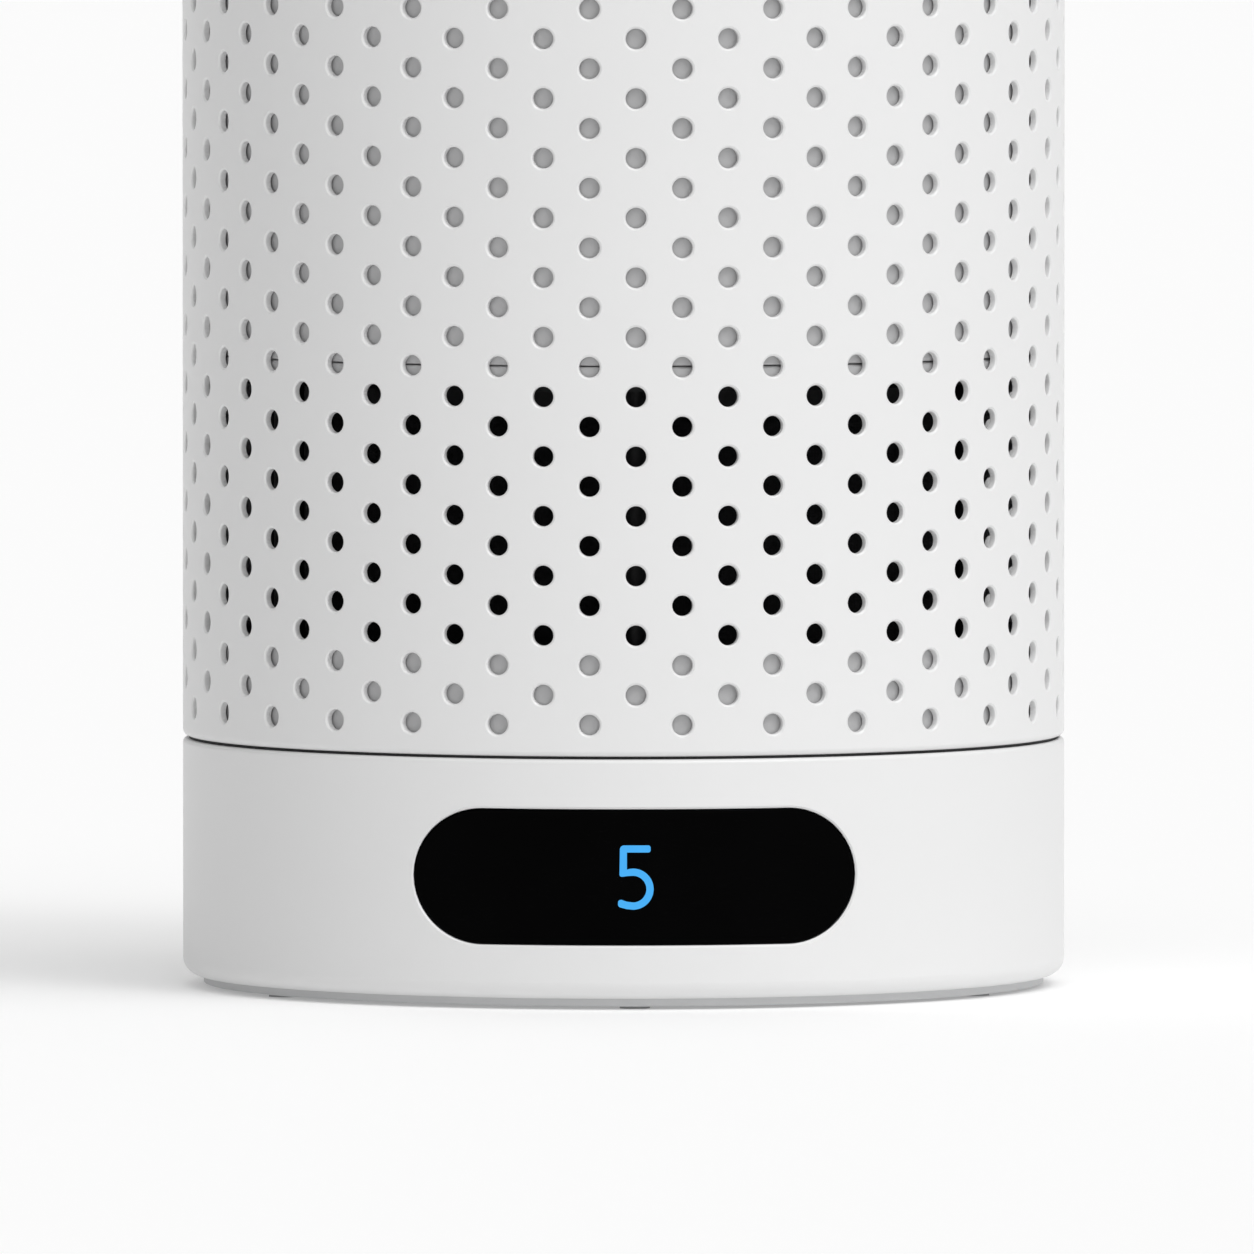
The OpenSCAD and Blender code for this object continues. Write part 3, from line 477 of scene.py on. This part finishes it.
MATERIALS = {
    "white_plastic": plastic("white_plastic", (0.775, 0.775, 0.775), 0.42, wash=0.006, coat=0.2),
    "grey_plastic": plastic("grey_plastic", (0.62, 0.625, 0.63), 0.5),
    "black_plastic": plastic("black_plastic", (0.012, 0.012, 0.013), 0.55, bump=0.1),
    "liner_plastic": plastic("liner_plastic", (0.50, 0.50, 0.505), 0.45, bump=0.1),
    "button_plastic": plastic("button_plastic", (0.70, 0.705, 0.71), 0.38),
    "display_window": window_black(),
    "lit_digit": lit_blue(),
    "led_plastic": plastic("led_plastic", (0.8, 0.8, 0.8), 0.5),
    "rubber": plastic("rubber", (0.018, 0.018, 0.019), 0.8, bump=0.25),
    "pad_rubber": plastic("pad_rubber", (0.40, 0.40, 0.405), 0.8, bump=0.25),
    "circuit_board": plastic("circuit_board", (0.02, 0.13, 0.06), 0.35, grain=0.0006),
    "steel": metal("steel", (0.55, 0.55, 0.56), 0.3),
    "copper_wire": metal("copper_wire", (0.72, 0.34, 0.16), 0.32, stretch=(12, 12, 1)),
    "magnet": metal("magnet", (0.16, 0.16, 0.17), 0.5),
    "cable_jacket": plastic("cable_jacket", (0.03, 0.03, 0.032), 0.5),
    "filter_cap": plastic("filter_cap", (0.045, 0.045, 0.048), 0.6, bump=0.15),
    "hepa_paper": woven("hepa_paper", (0.82, 0.82, 0.79), 0.0006),
    "carbon": plastic("carbon", (0.012, 0.012, 0.012), 0.85, grain=0.0012, bump=0.8),
    "mesh_fabric": woven("mesh_fabric", (0.03, 0.03, 0.033), 0.0011),
    "pull_tab": woven("pull_tab", (0.06, 0.18, 0.5), 0.0008),
    "impeller_plastic": plastic("impeller_plastic", (0.06, 0.062, 0.066), 0.5, bump=0.12),
}
WHITE = MATERIALS["white_plastic"]


def dress_nodes():
    """Every CAD node takes the material of its slot in the record."""
    for row in frame["record"]["subparts"]:
        obj = frame["nodes"][row["node"]]
        obj.data.materials.clear()
        obj.data.materials.append(MATERIALS[row["material_slot"]])


# ---------- camera, light and floor ----------

CAMERA_AIM = Vector((0.77 * MM, 0, 81.1 * MM))
CAMERA_DISTANCE = 6.5
CAMERA_LIFT, CAMERA_TURN = math.radians(2.75), math.radians(-1.6)
CAMERA_LENS, CAMERA_SENSOR, CAMERA_REACH = 822.2, 36, 60
WORLD_FADE = (-1.0, -0.5)        # sideways directions between which the surroundings brighten
WORLD_STRENGTH = 0.62
FLOOR_HALF = 30


def direction(azimuth, elevation):
    """Unit vector away from the object. azimuth 0 is the front, positive to the right."""
    return Vector((math.sin(azimuth) * math.cos(elevation),
                   -math.cos(azimuth) * math.cos(elevation), math.sin(elevation)))


def make_camera():
    """Long lens a little above the floor, turned a little to the left of the front."""
    away = direction(CAMERA_TURN, CAMERA_LIFT)
    data = bpy.data.cameras.new("camera")
    data.lens = CAMERA_LENS
    data.sensor_width = CAMERA_SENSOR
    data.clip_end = CAMERA_REACH
    camera = bpy.data.objects.new("camera", data)
    camera.location = CAMERA_AIM + away * CAMERA_DISTANCE
    camera.rotation_euler = (-away).to_track_quat("-Z", "Y").to_euler()
    bpy.context.scene.collection.objects.link(camera)
    bpy.context.scene.camera = camera


def soft_sun(name, azimuth, elevation, spread, strength):
    """A wide soft light, with its angles in degrees."""
    data = bpy.data.lights.new(name, "SUN")
    data.energy = strength
    data.angle = math.radians(spread)
    light = bpy.data.objects.new(name, data)
    towards = direction(math.radians(azimuth), math.radians(elevation))
    light.rotation_euler = (-towards).to_track_quat("-Z", "Y").to_euler()
    bpy.context.scene.collection.objects.link(light)


def make_world():
    """White surroundings that fall off towards the left, where the studio is darker."""
    world = bpy.data.worlds.new("world")
    bpy.context.scene.world = world
    world.use_nodes = True
    nodes, links = world.node_tree.nodes, world.node_tree.links
    coords = nodes.new("ShaderNodeTexCoord")
    split = nodes.new("ShaderNodeSeparateXYZ")
    fade = nodes.new("ShaderNodeMapRange")
    fade.inputs["From Min"].default_value = WORLD_FADE[0]
    fade.inputs["From Max"].default_value = WORLD_FADE[1]
    fade.inputs["To Min"].default_value = 0.0
    fade.inputs["To Max"].default_value = WORLD_STRENGTH
    links.new(coords.outputs["Generated"], split.inputs["Vector"])
    links.new(split.outputs["X"], fade.inputs["Value"])
    links.new(fade.outputs["Result"], nodes["Background"].inputs["Strength"])
    nodes["Background"].inputs["Color"].default_value = (1, 1, 1, 1)


def make_stage():
    make_world()
    soft_sun("soft_key", 34, 57, 60, 1.2)
    soft_sun("rim_key", 38, 50, 18, 0.42)
    mesh = bpy.data.meshes.new("floor")
    corners = [(x * FLOOR_HALF, y * FLOOR_HALF, 0) for x, y in ((-1, -1), (1, -1), (1, 1), (-1, 1))]
    mesh.from_pydata(corners, [], [(0, 1, 2, 3)])
    mat, tree, bsdf = new_material("floor")
    bsdf.inputs["Base Color"].default_value = (0.78, 0.78, 0.78, 1)
    bsdf.inputs["Roughness"].default_value = 0.8
    bsdf.inputs["Specular IOR Level"].default_value = 0.1
    bsdf.inputs["Emission Color"].default_value = (1, 1, 1, 1)
    bsdf.inputs["Emission Strength"].default_value = 0.2
    mesh.materials.append(mat)
    floor = bpy.data.objects.new("floor", mesh)
    bpy.context.scene.collection.objects.link(floor)
    bpy.context.scene.view_settings.view_transform = "Standard"


# ---------- outer pieces ----------

def make_shell():
    """Perforated shell: thirty holes to a row, every other row half a step round."""
    rows = int((SHELL_Z1 - SHELL_Z0 - 2 * ROW_MARGIN) / ROW_PITCH + ROW_SLACK) + 1
    centres = [SHELL_Z0 + ROW_MARGIN + i * ROW_PITCH for i in range(rows)]
    z_lines = [centres[0] - ROW_PITCH / 2]
    for z in centres:
        z_lines += [z, z + ROW_PITCH / 2]
    step = 360 / HOLE_COUNT
    cells = round(step / 2 * STEPS / 360)
    circle = round_hole(HOLE_R, cells + 1)
    holes = []
    for i, z in enumerate(centres):
        shift = step / 2 if i % 2 == 0 else 0
        for k in range(HOLE_COUNT):
            holes.append(opening(REAR_DEG + shift + k * step, step / 4, z - ROW_PITCH / 2,
                                 z + ROW_PITCH / 2, z, circle))
    r_in, r_out = BODY_R - SHELL_WALL, BODY_R
    corners = [(r_in, SHELL_Z0, 0), (r_out, SHELL_Z0, SHELL_EDGE), (r_out, SHELL_Z1, SHELL_EDGE),
               (r_in, SHELL_Z1, 0)]
    skin = Skin()
    row = lathe(skin, rounded_profile(corners, z_lines), openings=holes)
    for hole in holes:
        pierce(skin, row, hole, z_lines, r_out, r_in, HOLE_RIM)
    shell = skin.build("shell_skin", WHITE)
    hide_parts("perforated_shell")


def make_base():
    """Base ring with the display opening, the power inlet's hole and the sensor's slots."""
    r_in, r_out = BODY_R - CASE_WALL, BODY_R
    low, high, cells = 8 * MM, 51.5 * MM, 12
    z_lines = [low + (high - low) * k / cells for k in range(cells + 1)]
    inlet_low, inlet_high = z_lines[1], z_lines[8]
    vent_low, vent_high = z_lines[3], z_lines[9]
    holes = [opening(FRONT_DEG, DISPLAY_HALF_DEG, low, high, DISPLAY_Z,
                     stadium((DISPLAY_W - DISPLAY_H) / 2, DISPLAY_H / 2)),
             opening(REAR_DEG, INLET_HALF_DEG, inlet_low, inlet_high, INLET_Z, stadium(0, INLET_R))]
    rims = [PILL_RIM, PILL_RIM]
    for k in range(VENTS):
        centre = VENT_ANGLE + (k - (VENTS - 1) / 2) * VENT_STEP
        holes.append(opening(centre, VENT_STEP / 2, vent_low, vent_high, DISPLAY_Z,
                             stadium(VENT_RUN, VENT_R, upright=True)))
        rims.append(VENT_RIM)
    floor_z1 = BASE_Z0 + FLOOR_T
    corners = [(BASE_BORE_R, BASE_Z0, BORE_EDGE), (r_out, BASE_Z0, EDGE),
               (r_out, BASE_Z1, SEAM_EDGE), (r_in, BASE_Z1, 0), (r_in, floor_z1, 0),
               (BASE_BORE_R, floor_z1, 0)]
    skin = Skin()
    row = lathe(skin, rounded_profile(corners, z_lines), openings=holes)
    for hole, rim in zip(holes, rims):
        pierce(skin, row, hole, z_lines, r_out, r_in, rim)
    base = skin.build("base_skin", WHITE)
    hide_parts("base_housing")


PILL_RINGS = 6                   # rings from the window's edge to its spine
PILL_EDGE_TURNS = 4
PILL_ARC, PILL_RUN = 36, 48      # divisions of each end and of each straight run


def curved_pill(skin, w, h, r, edge, thick):
    """Smooth pill-shaped plate on the front of a cylinder of radius r, with a rounded edge."""
    run, end = (w - h) / 2, h / 2
    angles = [math.pi / 2 - math.pi * k / PILL_ARC for k in range(PILL_ARC + 1)]
    path = [("arc", run, a) for a in angles]
    path += [("line", run - 2 * run * k / PILL_RUN, -1) for k in range(1, PILL_RUN)]
    path += [("arc", -run, a - math.pi) for a in angles]
    path += [("line", -run + 2 * run * k / PILL_RUN, 1) for k in range(1, PILL_RUN)]

    def spot(kind, x, v, size):
        if kind == "arc":
            return x + size * math.cos(v), size * math.sin(v), math.cos(v), math.sin(v)
        return x, v * size, 0, v

    def ring(size, depth, lean):
        out, normals = [], []
        for kind, x, v in path:
            px, pz, nx, nz = spot(kind, x, v, size)
            y = -math.sqrt(r * r - px * px) + depth
            out.append(skin.vert(px, y, DISPLAY_Z + pz))
            face = Vector((px / r, -math.sqrt(1 - (px / r) ** 2), 0))
            side = Vector((nx, 0, nz))
            normals.append(tuple((face * math.cos(lean) + side * math.sin(lean)).normalized()))
        return out, normals

    loops = [ring(end, thick, math.pi / 2), ring(end, edge, math.pi / 2)]
    for k in range(1, PILL_EDGE_TURNS + 1):
        a = math.pi / 2 * k / PILL_EDGE_TURNS
        loops.append(ring(end - edge * (1 - math.cos(a)), edge * (1 - math.sin(a)),
                          math.pi / 2 - a))
    for k in range(1, PILL_RINGS):
        loops.append(ring((end - edge) * (1 - k / PILL_RINGS), 0, 0))
    count = len(path)
    for (la, na), (lb, nb) in zip(loops, loops[1:]):
        for i in range(count):
            j = (i + 1) % count
            skin.face([la[i], lb[i], lb[j], la[j]], [na[i], nb[i], nb[j], na[j]])

    inner, normals = loops[-1]
    spine_x = [run - 2 * run * k / PILL_RUN for k in range(PILL_RUN + 1)]
    spine = [skin.vert(x, -math.sqrt(r * r - x * x), DISPLAY_Z) for x in spine_x]
    spine_n = [(x / r, -math.sqrt(1 - (x / r) ** 2), 0) for x in spine_x]
    arc = len(angles)

    def spine_at(k):
        """The spine's point beside point k of the path."""
        if k < arc:
            return 0
        if k < arc + PILL_RUN - 1:
            return k - arc + 1
        if k < 2 * arc + PILL_RUN - 1:
            return PILL_RUN
        return PILL_RUN - (k - 2 * arc - PILL_RUN + 2)

    for i in range(count):
        j = (i + 1) % count
        a, b = spine_at(i), spine_at(j)
        if a == b:
            skin.face([inner[i], spine[a], inner[j]], [normals[i], spine_n[a], normals[j]])
        else:
            skin.face([inner[i], spine[a], spine[b], inner[j]],
                      [normals[i], spine_n[a], spine_n[b], normals[j]])


def make_display():
    """Window, set just under the base's surface, with the digit on it."""
    skin = Skin()
    curved_pill(skin, DISPLAY_W - 2 * LENS_GAP, DISPLAY_H - 2 * LENS_GAP, LENS_R, LENS_EDGE, LENS_T)
    lens = skin.build("window_skin", MATERIALS["display_window"])
    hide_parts("display_lens")
    make_digit()


# Pairs of points down the two edges of a 5, in units of its height from its centre
DIGIT_BAR = (((0.227, 0.468), (0.227, 0.420)), ((0.218, 0.490), (0.218, 0.399)),
             ((0.199, 0.500), (0.199, 0.389)))
DIGIT_STEM = (((-0.256, 0.060), (-0.141, 0.123)),
              ((-0.256, 0.040), (-0.141, 0.123)), ((-0.247, 0.021), (-0.141, 0.123)),
              ((-0.230, 0.013), (-0.141, 0.123)), ((-0.204, 0.013), (-0.138, 0.124)),
              ((-0.141, 0.022), (-0.100, 0.135)), ((-0.078, 0.026), (-0.062, 0.139)))
DIGIT_TAIL = (((-0.141, -0.375), (-0.150, -0.490)), ((-0.229, -0.345), (-0.252, -0.462)),
              ((-0.258, -0.351), (-0.270, -0.449)), ((-0.277, -0.370), (-0.280, -0.424)))


DIGIT_CUT = 0.03                 # longest stretch of stroke in one face


def digit_edges():
    """Pairs across the stroke, from the bar's right end round to the tail."""
    bowl_x, bowl_z, outer, inner, bowl_steps = -0.046, -0.180, 0.320, 0.207, 48
    corner_x, corner_z, corner_r, inside = -0.187, 0.437, 0.063, (-0.141, 0.389)
    corner = [((corner_x - corner_r * math.sin(a), corner_z + corner_r * math.cos(a)), inside)
              for a in (math.radians(15 * k) for k in range(7))]
    bowl = []
    for k in range(bowl_steps + 1):
        a = math.radians(90 - 180 * k / bowl_steps)
        bowl.append(((bowl_x + inner * math.cos(a), bowl_z + inner * math.sin(a)),
                     (bowl_x + outer * math.cos(a), bowl_z + outer * math.sin(a))))
    return [*DIGIT_BAR, *corner, *DIGIT_STEM, *bowl, *DIGIT_TAIL]


def make_digit():
    """The lit digit as a thin skin on the window, bent to its curve."""
    r = LENS_R + DIGIT_PROUD
    skin = Skin()
    rows = []
    edges = digit_edges()
    for (a, b), (c, d) in zip(edges, edges[1:]):
        cuts = max(1, round(max(math.dist(a, c), math.dist(b, d)) / DIGIT_CUT))
        for k in range(cuts):
            t = k / cuts
            rows.append([(p[0] + (q[0] - p[0]) * t, p[1] + (q[1] - p[1]) * t)
                         for p, q in ((a, c), (b, d))])
    rows.append(list(edges[-1]))

    def place(x, z):
        x, z = x * DIGIT_H, z * DIGIT_H
        return skin.vert(x, -math.sqrt(r * r - x * x), DISPLAY_Z + z)

    def normal(x):
        x = x * DIGIT_H
        return x / r, -math.sqrt(1 - (x / r) ** 2), 0

    loops = [(place(*a), place(*b), normal(a[0]), normal(b[0])) for a, b in rows]
    for (a, b, na, nb), (c, d, nc, nd) in zip(loops, loops[1:]):
        skin.face([a, c, d, b], [na, nc, nd, nb])
    digit = skin.build("digit_skin", MATERIALS["lit_digit"])
    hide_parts("display_digit")


def make_foot():
    skin = Skin()
    corners = [(FOOT_BORE_R, FOOT_Z0, FOOT_EDGE_IN), (FOOT_R, FOOT_Z0, FOOT_EDGE_OUT),
               (FOOT_R, BASE_Z0, 0), (FOOT_BORE_R, BASE_Z0, 0)]
    lathe(skin, rounded_profile(corners))
    foot = skin.build("foot_skin", MATERIALS["grey_plastic"])
    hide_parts("foot_ring")


def make_top_ring():
    rim, r_in = GRILLE_R + TOP_GAP, BODY_R - CASE_WALL
    lip_z, ledge_z = HEIGHT - TOP_STEP, TOP_Z0 + FLOOR_T
    corners = [(rim, TOP_Z0, 0), (BODY_R, TOP_Z0, SEAM_EDGE), (BODY_R, HEIGHT, EDGE),
               (rim, HEIGHT, TOP_LIP_EDGE), (rim, lip_z, 0), (r_in, lip_z, 0),
               (r_in, ledge_z, 0), (rim, ledge_z, 0)]
    skin = Skin()
    lathe(skin, rounded_profile(corners))
    ring = skin.build("top_ring_skin", WHITE)
    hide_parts("top_ring")


def bar_ring(r_in, r_out, z0, z1, soft):
    """Outline of a ring with rounded top edges."""
    return [(r_in, z0, 0), (r_out, z0, 0), (r_out, z1, soft), (r_in, z1, soft)]


def add_spoke(skin, angle, r0, r1, z0, z1, half, soft):
    """A radial bar with rounded upper edges."""
    out = Vector((math.cos(angle), math.sin(angle), 0))
    side = Vector((-math.sin(angle), math.cos(angle), 0))
    section = [(-half, z0, (-1, 0))]
    turns = 4
    for k in range(turns + 1):
        a = math.pi / 2 * k / turns
        section.append((-half + soft * (1 - math.cos(a)), z1 - soft * (1 - math.sin(a)),
                        (-math.cos(a), math.sin(a))))
    section += [(-x, z, (-n[0], n[1])) for x, z, n in section[::-1]]
    ends = []
    for r in (r0, r1):
        ends.append([skin.vert(*(out * r + side * x + Vector((0, 0, z)))) for x, z, _ in section])
    normals = [tuple(side * n[0] + Vector((0, 0, n[1]))) for _, _, n in section]
    count = len(section)
    for i in range(count - 1):
        skin.face([ends[0][i], ends[0][i + 1], ends[1][i + 1], ends[1][i]],
                  [normals[i], normals[i + 1], normals[i + 1], normals[i]])
    down = (0, 0, -1)
    skin.face([ends[0][count - 1], ends[0][0], ends[1][0], ends[1][count - 1]], [down] * 4)
    for loop, sign in ((ends[0][::-1], -1), (ends[1], 1)):
        skin.face(loop, [tuple(out * sign)] * count)


def make_grille():
    """Outlet grille: skirt, inner ring, ten rings and twelve spokes under them."""
    skin = Skin()
    hub = CAP_R + GRILLE_HUB_GAP
    top, low = GRILLE_Z1, GRILLE_Z1 - GRILLE_DEEP
    inside = GRILLE_R - GRILLE_SKIRT
    loops = [bar_ring(inside, GRILLE_R, TOP_Z0, top, GRILLE_EDGE),
             bar_ring(hub, hub + GRILLE_HUB, low, top, GRILLE_EDGE)]
    first = CAP_R + FIRST_RING
    rings = int((GRILLE_R - GRILLE_SKIRT - CAP_R - RING_ROOM) / GRILLE_PITCH)
    for i in range(1, rings + 1):
        r = first + i * GRILLE_PITCH
        loops.append(bar_ring(r - GRILLE_BAR, r, top - GRILLE_BAR_H, top, BAR_EDGE))
    for corners in loops:
        lathe(skin, rounded_profile(corners), steps=GRILLE_STEPS)
    turn = 360 / SPOKES
    for k in range(SPOKES):
        add_spoke(skin, math.radians(turn / 2 + turn * k), CAP_R + SPOKE_IN, inside + SPOKE_OUT,
                  low, top - SPOKE_DROP, SPOKE_HALF, SPOKE_EDGE)
    grille = skin.build("grille_skin", WHITE)
    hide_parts("outlet_grille")


make_camera()
make_stage()
dress_nodes()
make_shell()
make_base()
make_display()
make_foot()
make_top_ring()
make_grille()
